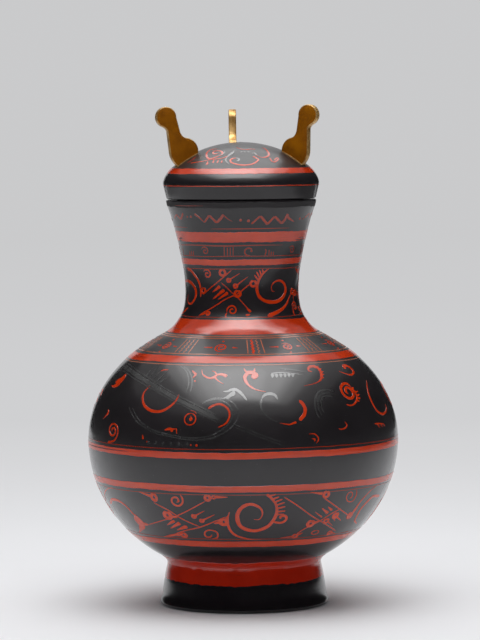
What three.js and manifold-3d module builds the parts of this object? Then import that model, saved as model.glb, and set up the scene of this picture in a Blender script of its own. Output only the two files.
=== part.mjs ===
// A turned wood-core lacquer jar of the hu form, with a domed plug lid and three S-shaped knobs.
// Millimetres, +Z up. The origin is the centre of the foot's resting plane.
// +X is the jar's right, and its painted front faces -Y.
import * as THREE from "three";
import { mergeVertices } from "three/addons/utils/BufferGeometryUtils.js";
import Module from "manifold-3d";

const wasm = await Module();
wasm.setup();

// Driving dimensions of the body
const BELLY_RADIUS = 100;
const BELLY_HEIGHT = 106.6;
const SHOULDER_TOP = 163.5; // where the belly's curve gives way to the neck's sweep
const NECK_RADIUS = 36.5;
const NECK_HEIGHT = 202;
const MOUTH_RADIUS = 48.4;
const MOUTH_HEIGHT = 261;
const WALL = 5.5;

// Foot
const FOOT_HEIGHT = 29;
const FOOT_RADIUS = 54.6;
const FOOT_WAIST_RADIUS = 49.4;
const FOOT_WALL = 5;
const FOOT_EDGE = 2.4; // rounding of the foot's lower outer edge
const SPIGOT_DEPTH = 5; // boss under the belly that locates the foot ring
const FLOOR_HEIGHT = 31.5;

// The belly's vertical half axes below and above its widest ring. The two half ellipses would
// close this far below the foot's top and above the shoulder.
const BELLY_UNDERCUT = 10.4;
const BELLY_OVERCUT = 22.6;
const BELLY_DROP = BELLY_HEIGHT - FOOT_HEIGHT + BELLY_UNDERCUT;
const BELLY_RISE = SHOULDER_TOP - BELLY_HEIGHT + BELLY_OVERCUT;

// Glued lap joints between the turned sections
const EQUATOR_JOINT = BELLY_HEIGHT - 2.1;
const NECK_JOINT = SHOULDER_TOP + 17;
const LAP = 4;
const GLUE_GAP = 0.3;

// Mouth and lid
const PLUG_BORE_RADIUS = 40.5;
const PLUG_CLEARANCE = 0.5;
const PLUG_WALL = 4;
const PLUG_DEPTH = 8; // how far the ring reaches down into the mouth
const PLUG_SEAT = 4.5; // how far it is let into the lid
const BORE_SPARE = 1.5; // straight bore left below the ring
const BORE_BLEND = 3; // height over which the bore runs into the throat
const RIM_EDGE = 0.9; // softened edges on both sides of the lid's seam
const LID_SEAM = 0.3;
const LID_RIM_RADIUS = 48.3;
const LID_RADIUS = 50.4;
const LID_RADIUS_HEIGHT = 12.2; // widest ring of the lid above its rim
const LID_SHOULDER_RADIUS = 45.6; // where the shoulder runs into the dome
const DOME_RADIUS = 69.5;
const LID_HEIGHT = 36.5; // rim to crown
const LID_WALL = 6;
const LID_FLARE = 0.2; // how much the lid's lower side swells between its rim and widest ring
const LID_TURN_IN = 0.5; // how the side turns in above the widest ring, to the shoulder
const LID_TURN_UP = 2.4;
const LID_SHOULDER_IN = 2.6;
const LID_SHOULDER_SWELL = 1.5;

// Knobs, each a flat board on a tenon, measured outwards and upwards from its seat point
const KNOB_THICKNESS = 4.8;
const KNOB_BEVEL = 0.5;
const KNOB_SEAT_RADIUS = 35.5; // from the lid's axis to the middle of the knob's foot
const HEAD_RADIUS = 6.65;
const HEAD = [14.8, 26.1];
const BULGE_RADIUS = 8.7;
const BULGE = [2.6, 4.3];
const THROAT_BEND = [4.3, 13.4]; // the concave inner side between the bulge and the shaft
const THROAT_END = [5.7, 16.6];
const SHAFT_TOP = [8.15, 25.2]; // where the shaft's inner side meets the head
const NOTCH_BEND = [14.9, 19.2]; // the notch under the head's outer side
const NOTCH_END = [14.2, 17.2];
const BACK_TURN = [12.6, 3.4]; // where the outer side starts to turn under
const BACK_BEND = [12.1, -1.2];
const FOOT_TIP = [7.6, -5.4];
const FOOT_UNDER = [4, -9]; // ends of the foot, below the dome's surface
const TENON_WIDTH = 9;
const TENON_THICKNESS = 3;
const TENON_OUT = 2.2;
const TENON_TOP = 4;
const TENON_BOTTOM = -4;
// azimuth is where the knob stands on the lid and yaw is the way its board faces, both from +X.
// Each board is set by hand: lean tips it inwards, out and sink move it outwards and down.
const KNOBS = [
  { name: "knob_left", azimuth: 200, yaw: 194, lean: 0, out: 0, sink: 0.2 },
  { name: "knob_right", azimuth: 340, yaw: 333, lean: 5.5, out: -0.7, sink: 0.7 },
  { name: "knob_back", azimuth: 98.2, yaw: 91, lean: 0, out: 0, sink: 1.9 },
];

// Mesh fineness
const SEGMENTS = 48;
const OUTER_STEP = 7; // longest step along a turned outline, outside and inside
const INNER_STEP = 11;
const AXIS_Z = new THREE.Vector3(0, 0, 1);

// A closed mesh as a solid that can be cut and joined.
function solidOf(geometry) {
  const bare = geometry.clone();
  bare.deleteAttribute("normal");
  bare.deleteAttribute("uv");
  const merged = mergeVertices(bare, 1e-4);
  return new wasm.Manifold(
    new wasm.Mesh({
      numProp: 3,
      vertProperties: merged.attributes.position.array,
      triVerts: new Uint32Array(merged.index.array),
    }),
  );
}

// A solid as a mesh that three.js can shade.
function geometryOf(solid) {
  const mesh = solid.getMesh();
  const geometry = new THREE.BufferGeometry();
  geometry.setAttribute("position", new THREE.BufferAttribute(mesh.vertProperties, 3));
  geometry.setIndex(new THREE.BufferAttribute(mesh.triVerts, 1));
  geometry.computeVertexNormals();
  return geometry;
}

// Turns an outline of [radius, height] points about +Z.
function turned(outline) {
  const points = outline.map(([r, z]) => new THREE.Vector2(r, z));
  return new THREE.LatheGeometry(points, SEGMENTS).rotateX(Math.PI / 2);
}

// The radius of the belly's two half ellipses at a height.
function bellyRadius(z) {
  const half = z < BELLY_HEIGHT ? BELLY_DROP : BELLY_RISE;
  return BELLY_RADIUS * Math.sqrt(1 - ((z - BELLY_HEIGHT) / half) ** 2);
}

// The jar's outer outline above the foot: the belly's ellipses, then the neck's sweep to the mouth.
function jarCurve() {
  const BELLY_POINTS = 13;
  const points = [];
  for (let i = 0; i <= BELLY_POINTS; i += 1) {
    const start = Math.asin((FOOT_HEIGHT - BELLY_HEIGHT) / BELLY_DROP);
    const end = Math.asin((SHOULDER_TOP - BELLY_HEIGHT) / BELLY_RISE);
    const angle = start + ((end - start) * i) / BELLY_POINTS;
    const z = BELLY_HEIGHT + (angle < 0 ? BELLY_DROP : BELLY_RISE) * Math.sin(angle);
    points.push([bellyRadius(z), z]);
  }
  const rise = NECK_HEIGHT - SHOULDER_TOP;
  const spread = bellyRadius(SHOULDER_TOP) - NECK_RADIUS;
  // shares of the rise to the neck and of the spread left there
  const sweep = [[0.235, 0.575], [0.37, 0.31], [0.505, 0.164], [0.705, 0.045], [1, 0]];
  for (const [up, out] of sweep) {
    points.push([NECK_RADIUS + spread * out, SHOULDER_TOP + rise * up]);
  }
  const flare = MOUTH_RADIUS - NECK_RADIUS;
  const climb = MOUTH_HEIGHT - NECK_HEIGHT;
  const throat = [[0.2, 0.07], [0.38, 0.215], [0.56, 0.4], [0.78, 0.69], [0.94, 0.95], [1, 1]];
  for (const [up, out] of throat) {
    points.push([NECK_RADIUS + flare * out, NECK_HEIGHT + climb * up]);
  }
  return new THREE.SplineCurve(points.map(([r, z]) => new THREE.Vector2(r, z)));
}

const JAR = jarCurve().getPoints(400).map((p) => [p.x, p.y]);

// The same curve moved inwards by the wall.
const JAR_INNER = JAR.map(([r, z], i) => {
  const [ra, za] = JAR[Math.max(0, i - 1)];
  const [rb, zb] = JAR[Math.min(JAR.length - 1, i + 1)];
  const length = Math.hypot(rb - ra, zb - za);
  return [r - (WALL * (zb - za)) / length, z + (WALL * (rb - ra)) / length];
});

// The radius of an outline, given as points of rising height, at a height.
function radiusAt(outline, z) {
  let i = outline.findIndex((p) => p[1] >= z);
  if (i < 0) i = outline.length - 1;
  if (i === 0) return outline[0][0];
  const [ra, za] = outline[i - 1];
  const [rb, zb] = outline[i];
  return ra + ((rb - ra) * (z - za)) / (zb - za);
}

const outerRadius = (z) => radiusAt(JAR, z);
const innerRadius = (z) => radiusAt(JAR_INNER, z);

// Points along a radius function between two heights, at even steps along the curve.
function stretch(radius, from, to, step) {
  const FINE = 200;
  const line = new THREE.Path();
  for (let i = 0; i <= FINE; i += 1) {
    const z = from + ((to - from) * i) / FINE;
    if (i === 0) line.moveTo(radius(z), z);
    else line.lineTo(radius(z), z);
  }
  const steps = Math.max(1, Math.ceil(line.getLength() / step));
  const points = [];
  for (let i = 0; i <= steps; i += 1) {
    const p = line.getPointAt(i / steps);
    points.push([p.x, p.y]);
  }
  return points;
}

// The middle of the wall at a joint, where its lap steps.
const lapRadius = (z) => (outerRadius(z) + innerRadius(z + LAP)) / 2;

// The stepped top of the section below a joint, from outside to inside.
function lowerHalfOfJoint(z) {
  const mid = lapRadius(z);
  return [[mid, z], [mid, z + LAP]];
}

// The stepped underside of the section above a joint, from inside to outside.
function upperHalfOfJoint(z) {
  const mid = lapRadius(z) + GLUE_GAP;
  return [[mid, z + LAP + GLUE_GAP], [mid, z + GLUE_GAP]];
}

const close = (outline) => [...outline, outline[0]];

// The boss under the belly fits inside the foot ring.
const spigotRadius = FOOT_WAIST_RADIUS - FOOT_WALL - GLUE_GAP;

// Foot ring: a flared ring, open below.
function footRing() {
  const flare = FOOT_RADIUS - FOOT_WAIST_RADIUS;
  // shares of the flare and of the foot's height
  const outer = new THREE.SplineCurve([
    new THREE.Vector2(FOOT_RADIUS, FOOT_EDGE),
    new THREE.Vector2(FOOT_RADIUS - 0.27 * flare, 0.25 * FOOT_HEIGHT),
    new THREE.Vector2(FOOT_RADIUS - 0.58 * flare, 0.6 * FOOT_HEIGHT),
    new THREE.Vector2(FOOT_WAIST_RADIUS, FOOT_HEIGHT),
  ]).getPoints(6).map((p) => [p.x, p.y]);
  // shares of the edge's rounding, inwards and upwards
  const edge = [[1, 0], [0.5, 0.15], [0.15, 0.5]];
  return turned(close([
    [FOOT_RADIUS - FOOT_WALL, 0],
    ...edge.map(([inwards, up]) => [FOOT_RADIUS - inwards * FOOT_EDGE, up * FOOT_EDGE]),
    ...outer,
    [FOOT_WAIST_RADIUS - FOOT_WALL, FOOT_HEIGHT],
    [FOOT_WAIST_RADIUS - FOOT_WALL, FOOT_HEIGHT - SPIGOT_DEPTH - GLUE_GAP],
  ]));
}

// Lower belly: the bowl, with its floor and the boss below it.
function lowerBelly() {
  const underside = FOOT_HEIGHT + GLUE_GAP;
  return turned([
    [0, FOOT_HEIGHT - SPIGOT_DEPTH],
    [spigotRadius, FOOT_HEIGHT - SPIGOT_DEPTH],
    [spigotRadius, underside],
    ...stretch(outerRadius, underside, EQUATOR_JOINT, OUTER_STEP),
    ...lowerHalfOfJoint(EQUATOR_JOINT),
    ...stretch(innerRadius, EQUATOR_JOINT + LAP, FLOOR_HEIGHT, INNER_STEP),
    [0, FLOOR_HEIGHT],
  ]);
}

// Upper belly: the shoulder ring between the widest ring and the neck.
function upperBelly() {
  return turned(close([
    ...stretch(outerRadius, EQUATOR_JOINT + GLUE_GAP, NECK_JOINT, OUTER_STEP),
    ...lowerHalfOfJoint(NECK_JOINT),
    ...stretch(innerRadius, NECK_JOINT + LAP, EQUATOR_JOINT + LAP + GLUE_GAP, INNER_STEP),
    ...upperHalfOfJoint(EQUATOR_JOINT),
  ]));
}

// Neck: a waisted tube that ends in the mouth's flat rim, bored straight for the plug.
function neck() {
  const boreFloor = MOUTH_HEIGHT - PLUG_DEPTH - BORE_SPARE;
  return turned(close([
    ...stretch(outerRadius, NECK_JOINT + GLUE_GAP, MOUTH_HEIGHT - RIM_EDGE, OUTER_STEP),
    [MOUTH_RADIUS - RIM_EDGE, MOUTH_HEIGHT],
    [PLUG_BORE_RADIUS, MOUTH_HEIGHT],
    [PLUG_BORE_RADIUS, boreFloor],
    ...stretch(innerRadius, boreFloor - BORE_BLEND, NECK_JOINT + LAP + GLUE_GAP, INNER_STEP),
    ...upperHalfOfJoint(NECK_JOINT),
  ]));
}

// Heights on the lid are measured from its rim.
const LID_BASE = MOUTH_HEIGHT + LID_SEAM;
const plugRadius = PLUG_BORE_RADIUS - PLUG_CLEARANCE;

// The dome's height above the lid's rim at a radius, moved outwards by an offset.
function domeHeight(r, offset = 0) {
  return LID_HEIGHT - DOME_RADIUS + Math.sqrt((DOME_RADIUS + offset) ** 2 - r ** 2);
}

// The lid's outer outline from the crown down to the rim.
function lidOutline() {
  const DOME_STEPS = 7;
  const points = [];
  for (let i = 0; i <= DOME_STEPS; i += 1) {
    const r = (LID_SHOULDER_RADIUS * i) / DOME_STEPS;
    points.push([r, domeHeight(r)]);
  }
  const shoulderHeight = domeHeight(LID_SHOULDER_RADIUS);
  const side = new THREE.SplineCurve([
    new THREE.Vector2(LID_SHOULDER_RADIUS, shoulderHeight),
    new THREE.Vector2(
      LID_RADIUS - LID_SHOULDER_IN,
      (shoulderHeight + LID_RADIUS_HEIGHT) / 2 + LID_SHOULDER_SWELL,
    ),
    new THREE.Vector2(LID_RADIUS - LID_TURN_IN, LID_RADIUS_HEIGHT + LID_TURN_UP),
    new THREE.Vector2(LID_RADIUS, LID_RADIUS_HEIGHT),
    new THREE.Vector2((LID_RADIUS + LID_RIM_RADIUS) / 2 + LID_FLARE, LID_RADIUS_HEIGHT / 2),
    new THREE.Vector2(LID_RIM_RADIUS, RIM_EDGE),
  ]).getPoints(10).slice(1).map((p) => [p.x, p.y]);
  return [...points, ...side];
}

// Lid shell: domed above, hollow below, with a rebate for the plug ring.
function lidShell() {
  const HOLLOW_STEPS = 5;
  const bore = plugRadius + GLUE_GAP;
  const hollowRadius = plugRadius - PLUG_WALL;
  const hollow = [];
  for (let i = 0; i <= HOLLOW_STEPS; i += 1) {
    const r = hollowRadius * (1 - i / HOLLOW_STEPS);
    hollow.push([r, domeHeight(r, -LID_WALL)]);
  }
  const outline = [
    ...lidOutline(),
    [LID_RIM_RADIUS - RIM_EDGE, 0],
    [bore, 0],
    [bore, PLUG_SEAT],
    [hollowRadius, PLUG_SEAT],
    ...hollow,
  ];
  return turned(outline.reverse()).translate(0, 0, LID_BASE);
}

// Plug ring: let into the lid and reaching down into the mouth.
function lidPlugRing() {
  const top = LID_BASE + PLUG_SEAT - GLUE_GAP;
  const bottom = MOUTH_HEIGHT - PLUG_DEPTH;
  const inner = plugRadius - PLUG_WALL;
  return turned(close([
    [inner, bottom],
    [plugRadius - RIM_EDGE, bottom],
    [plugRadius, bottom + RIM_EDGE],
    [plugRadius, top],
    [inner, top],
  ]));
}

// The height of the lid's surface at the middle of a knob's foot.
const seatHeight = LID_BASE + domeHeight(KNOB_SEAT_RADIUS);

// A knob's outline in its own plane: x outwards and y upwards from the seat point.
function knobShape() {
  const inner = BULGE[0] - BULGE_RADIUS;
  const shape = new THREE.Shape();
  shape.moveTo(inner, TENON_BOTTOM);
  shape.lineTo(inner, BULGE[1]);
  shape.absarc(...BULGE, BULGE_RADIUS, Math.PI, 0.52 * Math.PI, true);
  shape.quadraticCurveTo(...THROAT_BEND, ...THROAT_END);
  shape.lineTo(...SHAFT_TOP);
  shape.absarc(...HEAD, HEAD_RADIUS, Math.PI, -0.36 * Math.PI, true);
  shape.quadraticCurveTo(...NOTCH_BEND, ...NOTCH_END);
  shape.lineTo(...BACK_TURN);
  shape.quadraticCurveTo(...BACK_BEND, ...FOOT_TIP);
  shape.lineTo(...FOOT_UNDER);
  shape.closePath();
  return shape;
}

// Turns something built in the knob's plane to stand at its place on the lid.
function placeKnob(geometry, knob) {
  const azimuth = THREE.MathUtils.degToRad(knob.azimuth);
  const x = KNOB_SEAT_RADIUS * Math.cos(azimuth);
  const y = KNOB_SEAT_RADIUS * Math.sin(azimuth);
  return geometry
    .rotateZ(THREE.MathUtils.degToRad(knob.lean))
    .translate(knob.out, -knob.sink, 0)
    .rotateX(Math.PI / 2)
    .applyMatrix4(new THREE.Matrix4().makeRotationAxis(AXIS_Z, THREE.MathUtils.degToRad(knob.yaw)))
    .translate(x, y, seatHeight);
}

// A knob's board, cut to the dome with a glue gap.
function knobBoard(knob) {
  const board = new THREE.ExtrudeGeometry(knobShape(), {
    depth: KNOB_THICKNESS - 2 * KNOB_BEVEL,
    bevelEnabled: true,
    bevelThickness: KNOB_BEVEL,
    bevelSize: KNOB_BEVEL,
    bevelOffset: -KNOB_BEVEL,
    bevelSegments: 1,
    curveSegments: 10,
  }).translate(0, 0, KNOB_BEVEL - KNOB_THICKNESS / 2);
  return solidOf(placeKnob(board, knob));
}

// A tenon grown by a clearance on every side but its top.
function tenon(knob, clearance) {
  const height = TENON_TOP - TENON_BOTTOM + clearance;
  const block = new THREE.BoxGeometry(
    TENON_WIDTH + 2 * clearance,
    height,
    TENON_THICKNESS + 2 * clearance,
  ).translate(TENON_OUT, TENON_TOP - height / 2, 0);
  return solidOf(placeKnob(block, knob));
}

// The ball that the dome is a part of, grown by the glue gap.
function domeBall() {
  const ball = new THREE.SphereGeometry(DOME_RADIUS + GLUE_GAP, 96, 64).rotateX(Math.PI / 2);
  return solidOf(ball.translate(0, 0, LID_BASE + LID_HEIGHT - DOME_RADIUS));
}

// Satin black lacquer, vermilion inside, and gilt boards
function blackLacquer() {
  return new THREE.MeshStandardMaterial({ color: 0x1b1a1c, roughness: 0.32, metalness: 0 });
}

function giltLacquer() {
  return new THREE.MeshStandardMaterial({ color: 0xa87416, roughness: 0.35, metalness: 0.7 });
}

const jar = new THREE.Group();

function add(name, geometry, material) {
  const mesh = new THREE.Mesh(geometry, material);
  mesh.name = name;
  jar.add(mesh);
}

add("foot_ring", footRing(), blackLacquer());
add("lower_belly", lowerBelly(), blackLacquer());
add("upper_belly", upperBelly(), blackLacquer());
add("neck", neck(), blackLacquer());

let lid = solidOf(lidShell());
const ball = domeBall();
for (const knob of KNOBS) {
  lid = lid.subtract(tenon(knob, GLUE_GAP));
  add(knob.name, geometryOf(knobBoard(knob).subtract(ball).add(tenon(knob, 0))), giltLacquer());
}
add("lid_shell", geometryOf(lid), blackLacquer());
add("lid_plug_ring", lidPlugRing(), blackLacquer());

export default jar;
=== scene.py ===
# The finished surfaces of a painted lacquer jar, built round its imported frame.
# Lengths are in millimetres and angles in degrees until a mesh is made, which is in metres.
# Bumps, lamps and the camera are in metres.
# Azimuth 0 is the jar's painted front, which faces -Y, and azimuth grows towards +X.
import math
from functools import partialmethod

import bmesh
import bpy
import numpy as np
from mathutils import Matrix, Vector, noise


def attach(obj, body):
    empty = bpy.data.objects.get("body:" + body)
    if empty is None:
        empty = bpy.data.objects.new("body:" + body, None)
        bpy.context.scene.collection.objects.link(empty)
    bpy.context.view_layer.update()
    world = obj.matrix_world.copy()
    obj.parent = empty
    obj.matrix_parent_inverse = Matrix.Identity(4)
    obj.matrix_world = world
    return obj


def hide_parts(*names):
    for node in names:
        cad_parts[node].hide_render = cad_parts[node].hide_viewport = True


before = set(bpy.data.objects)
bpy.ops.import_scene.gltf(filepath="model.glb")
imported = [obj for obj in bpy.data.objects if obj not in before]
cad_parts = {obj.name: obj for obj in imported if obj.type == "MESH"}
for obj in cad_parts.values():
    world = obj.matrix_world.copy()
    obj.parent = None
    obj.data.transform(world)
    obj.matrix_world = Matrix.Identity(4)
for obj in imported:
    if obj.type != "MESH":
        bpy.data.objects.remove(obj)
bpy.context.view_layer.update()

MM = 0.001

# Driving dimensions of the jar, as in the part's source
BELLY_RADIUS = 100
BELLY_HEIGHT = 106.6
BELLY_DROP = 88
BELLY_RISE = 79.5
SHOULDER_TOP = 163.5
NECK_RADIUS = 36.5
NECK_HEIGHT = 202
MOUTH_RADIUS = 48.4
MOUTH_HEIGHT = 261
WALL = 5.5
FOOT_HEIGHT = 29
FOOT_RADIUS = 54.6
FOOT_WAIST_RADIUS = 49.4
FOOT_WALL = 5
FOOT_EDGE = 2.4
FLOOR_HEIGHT = 31.5
EQUATOR_JOINT = 104.5
NECK_JOINT = 180.5
JOINT_LINE = 0.3
PLUG_BORE_RADIUS = 40.5
PLUG_RADIUS = 40
PLUG_WALL = 4
PLUG_DEPTH = 8
PLUG_SEAT = 4.5
LID_BASE = 261.3
LID_RIM_RADIUS = 48.3
LID_RADIUS = 50.4
LID_RADIUS_HEIGHT = 12.2
LID_SHOULDER_RADIUS = 45.6
DOME_RADIUS = 69.5
LID_HEIGHT = 36.5
LID_WALL = 6
KNOB_THICKNESS = 4.8
KNOB_SEAT_RADIUS = 35.5
# Angles from +X of the seat and the board, the board's lean, and how far it sits outwards and down
KNOB_PLACES = {
    "knob_left": (200, 194, 0, 0, 0.2),
    "knob_right": (340, 333, 5.5, -0.7, 0.7),
    "knob_back": (98.2, 91, 0, 0, 1.9),
}

# Heights of the bands that part the kinds of black
LOW_BAND = 46
SHOULDER_BAND = 162

# Mesh fineness
SEGMENTS = 256
ROW = 1.2
STROKE_STEP = 0.8

# The outlines are the paint's outer face. The bare lacquer lies below it, and the paint's
# underside is sunk a little deeper still.
PAINT_LIFT = -0.04
GROUND = -0.15
PAINT_SINK = 0.3


def spline(points, per_span):
    """A smooth line through points: a uniform Catmull-Rom curve with per_span steps a span."""
    points = np.array(points, float)
    padded = np.vstack([points[:1], points, points[-1:]])
    steps = np.arange(per_span)[:, None] / per_span
    out = []
    for a, b, c, d in zip(padded, padded[1:], padded[2:], padded[3:]):
        start, end = (c - a) / 2, (d - b) / 2
        out.append(
            (2 * b - 2 * c + start + end) * steps**3
            + (3 * c - 3 * b - 2 * start - end) * steps**2
            + start * steps
            + b
        )
    return np.vstack(out + [points[-1:]])


class Outline:
    """A turned outline of (radius, height) points, rising, with the outside to its right."""

    def __init__(self, points):
        self.r, self.z = np.array(points, float).T
        steps = np.hypot(np.diff(self.r), np.diff(self.z))
        self.t = np.concatenate(([0.0], np.cumsum(steps)))

    def length_at(self, height):
        return np.interp(height, self.z, self.t)

    def at(self, t):
        return np.interp(t, self.t, self.r), np.interp(t, self.t, self.z)

    def normal(self, t):
        reach = 0.5
        ra, za = self.at(np.maximum(t - reach, self.t[0]))
        rb, zb = self.at(np.minimum(t + reach, self.t[-1]))
        length = np.hypot(rb - ra, zb - za)
        return (zb - za) / length, (ra - rb) / length

    def offset(self, t, lift):
        """Radius and height of points along the outline, moved outwards by lift."""
        r, z = self.at(t)
        nr, nz = self.normal(t)
        return r + lift * nr, z + lift * nz

    def stretch(self, low, high, lift=GROUND):
        """Evenly spaced points between two heights, moved outwards by lift."""
        start, end = self.length_at(low), self.length_at(high)
        count = max(2, round(abs(end - start) / ROW) + 1)
        r, z = self.offset(np.linspace(start, end, count), lift)
        return list(zip(r, z))


def jar_outline():
    """The belly's two half ellipses, then the neck's sweep and the throat up to the mouth."""
    belly_points = 13
    start = math.asin((FOOT_HEIGHT - BELLY_HEIGHT) / BELLY_DROP)
    end = math.asin((SHOULDER_TOP - BELLY_HEIGHT) / BELLY_RISE)
    points = []
    for i in range(belly_points + 1):
        angle = start + (end - start) * i / belly_points
        half = BELLY_DROP if angle < 0 else BELLY_RISE
        points.append((BELLY_RADIUS * math.cos(angle), BELLY_HEIGHT + half * math.sin(angle)))
    spread = points[-1][0] - NECK_RADIUS
    rise = NECK_HEIGHT - SHOULDER_TOP
    for up, out in ((0.235, 0.575), (0.37, 0.31), (0.505, 0.164), (0.705, 0.045), (1, 0)):
        points.append((NECK_RADIUS + spread * out, SHOULDER_TOP + rise * up))
    flare = MOUTH_RADIUS - NECK_RADIUS
    climb = MOUTH_HEIGHT - NECK_HEIGHT
    for up, out in ((0.2, 0.07), (0.38, 0.215), (0.56, 0.4), (0.78, 0.69), (0.94, 0.95), (1, 1)):
        points.append((NECK_RADIUS + flare * out, NECK_HEIGHT + climb * up))
    return Outline(spline(points, 20))


def foot_outline():
    """The flared foot ring from its resting edge, and a small painted cove under the belly."""
    flare = FOOT_RADIUS - FOOT_WAIST_RADIUS
    points = [
        (FOOT_RADIUS - FOOT_EDGE, 0),
        (FOOT_RADIUS - 0.5 * FOOT_EDGE, 0.15 * FOOT_EDGE),
        (FOOT_RADIUS - 0.16 * FOOT_EDGE, 0.5 * FOOT_EDGE),
        (FOOT_RADIUS, 1.1 * FOOT_EDGE),
        (FOOT_RADIUS - 0.27 * flare, 0.25 * FOOT_HEIGHT),
        (FOOT_RADIUS - 0.58 * flare, 0.6 * FOOT_HEIGHT),
        (FOOT_WAIST_RADIUS + 0.2, FOOT_HEIGHT - 2.2),
    ]
    points = list(spline(points, 12))
    cove = ((0.1, -1.6), (0.4, -0.5), (1.0, 0.5), (1.9, 1.5), (3.0, 2.4), (4.4, 3.5))
    points += [(FOOT_WAIST_RADIUS + out, FOOT_HEIGHT + up) for out, up in cove]
    return Outline(points)


def dome_height(r, offset=0.0):
    """Height of the lid's dome at a radius, moved outwards by an offset."""
    return LID_BASE + LID_HEIGHT - DOME_RADIUS + math.sqrt((DOME_RADIUS + offset) ** 2 - r**2)


def lid_outline():
    """The lid from its rim, over the widest ring and the shoulder, to the crown."""
    shoulder = dome_height(LID_SHOULDER_RADIUS)
    side = [
        (LID_RIM_RADIUS - 0.9, LID_BASE),
        (LID_RIM_RADIUS - 0.3, LID_BASE + 0.25),
        (LID_RIM_RADIUS, LID_BASE + 0.9),
        ((LID_RADIUS + LID_RIM_RADIUS) / 2 + 0.2, LID_BASE + LID_RADIUS_HEIGHT / 2),
        (LID_RADIUS - 0.02, LID_BASE + LID_RADIUS_HEIGHT - 2.2),
        (LID_RADIUS - 0.4, LID_BASE + LID_RADIUS_HEIGHT + 0.3),
        (LID_RADIUS - 1.5, LID_BASE + LID_RADIUS_HEIGHT + 2.8),
        (LID_RADIUS - 3.0, LID_BASE + LID_RADIUS_HEIGHT + 5),
        (LID_SHOULDER_RADIUS, shoulder),
    ]
    dome_steps = 48
    points = list(spline(side, 8))
    for i in range(1, dome_steps + 1):
        r = LID_SHOULDER_RADIUS * (1 - i / dome_steps)
        points.append((r, dome_height(r)))
    return Outline(points)


JAR = jar_outline()
FOOT = foot_outline()
LID = lid_outline()


def make_mesh(name, verts, faces, sharp=30):
    """A mesh object in metres from vertices in millimetres, shaded smooth with sharp corners."""
    mesh = bpy.data.meshes.new(name)
    mesh.from_pydata([tuple(v) for v in np.asarray(verts) * MM], [], faces)
    tidy = bmesh.new()
    tidy.from_mesh(mesh)
    bmesh.ops.recalc_face_normals(tidy, faces=tidy.faces)
    tidy.to_mesh(mesh)
    tidy.free()
    mesh.shade_smooth()
    mesh.set_sharp_from_angle(angle=math.radians(sharp))
    piece = bpy.data.objects.new(name, mesh)
    bpy.context.collection.objects.link(piece)
    return piece


def dress(piece, body, materials, replaced=None):
    """Gives a piece its materials, the body it rides on and the node it stands for."""
    for material in materials:
        piece.data.materials.append(material)
    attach(piece, body)
    if replaced:
        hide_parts(replaced)
    return piece


def quads(start, rings, size, wrap=False):
    """Faces between successive rings of size vertices; wrap joins the last ring to the first."""
    faces = []
    for i in range(rings if wrap else rings - 1):
        a, b = start + i * size, start + (i + 1) % rings * size
        for k in range(size):
            n = (k + 1) % size
            faces.append((a + k, a + n, b + n, b + k))
    return faces


def revolve(name, outline, segments=SEGMENTS, closed=True):
    """Turns an outline of (radius, height) points, closed or open, about the jar's axis."""
    verts = []
    rings = []
    for r, z in outline:
        size = segments if r > 1e-6 else 1
        rings.append([len(verts) + k % size for k in range(segments + 1)])
        for angle in 2 * np.pi * np.arange(size) / size:
            verts.append((r * math.sin(angle), -r * math.cos(angle), z))
    faces = []
    for below, above in zip(rings, rings[1:] + (rings[:1] if closed else [])):
        for k in range(segments):
            corners = dict.fromkeys((below[k], below[k + 1], above[k + 1], above[k]))
            if len(corners) > 2:
                faces.append(tuple(corners))
    return make_mesh(name, verts, faces)


# Materials


class Nodes:
    """Builds one material's node tree. In a keyword that names an input, _ stands for a space."""

    def __init__(self, name):
        self.material = bpy.data.materials.new(name)
        self.material.use_nodes = True
        self.tree = self.material.node_tree
        self.shader = self.tree.nodes["Principled BSDF"]
        self.place = self.node("TexCoord").outputs["Object"]

    def feed(self, socket, source):
        """Links a socket to an input, or sets the input's number, colour or vector."""
        if isinstance(source, bpy.types.NodeSocket):
            self.tree.links.new(source, socket)
        elif isinstance(source, tuple):
            socket.default_value = (*source, 1)[:len(socket.default_value)]
        else:
            socket.default_value = source

    def fill(self, node, inputs):
        for name, source in inputs.items():
            self.feed(node.inputs[name.replace("_", " ")], source)
        return node

    def node(self, kind, **inputs):
        return self.fill(self.tree.nodes.new("ShaderNode" + kind), inputs)

    def surface(self, **inputs):
        self.fill(self.shader, inputs)

    def noise(self, scale, detail=3.0, stretch=(1, 1, 1), roughness=0.5):
        mapping = self.node("Mapping", Vector=self.place, Scale=stretch)
        return self.node(
            "TexNoise", Vector=mapping.outputs["Vector"], Scale=scale, Detail=detail,
            Roughness=roughness,
        ).outputs["Fac"]

    def ramp(self, source, *stops):
        """Maps a value to colours or greys through (position, colour) stops."""
        node = self.node("ValToRGB", Fac=source)
        while len(node.color_ramp.elements) < len(stops):
            node.color_ramp.elements.new(0.5)
        for element, (position, colour) in zip(node.color_ramp.elements, stops):
            element.position = position
            element.color = (*colour, 1) if isinstance(colour, tuple) else (colour,) * 3 + (1,)
        return node.outputs["Color"]

    def mix(self, factor, first, second):
        """Mixes two colours. The node's inputs 0, 6 and 7 are its factor and its colours."""
        node = self.node("Mix")
        node.data_type = "RGBA"
        for socket, source in ((0, factor), (6, first), (7, second)):
            self.feed(node.inputs[socket], source)
        return node.outputs[2]

    def bump(self, source, distance, strength=1.0):
        """Bumps the surface by a value, distance in metres, on top of any earlier bump."""
        node = self.node("Bump", Height=source, Distance=distance, Strength=strength)
        normal = self.shader.inputs["Normal"]
        if normal.is_linked:
            self.feed(node.inputs["Normal"], normal.links[0].from_socket)
        self.feed(normal, node.outputs["Normal"])


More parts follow.
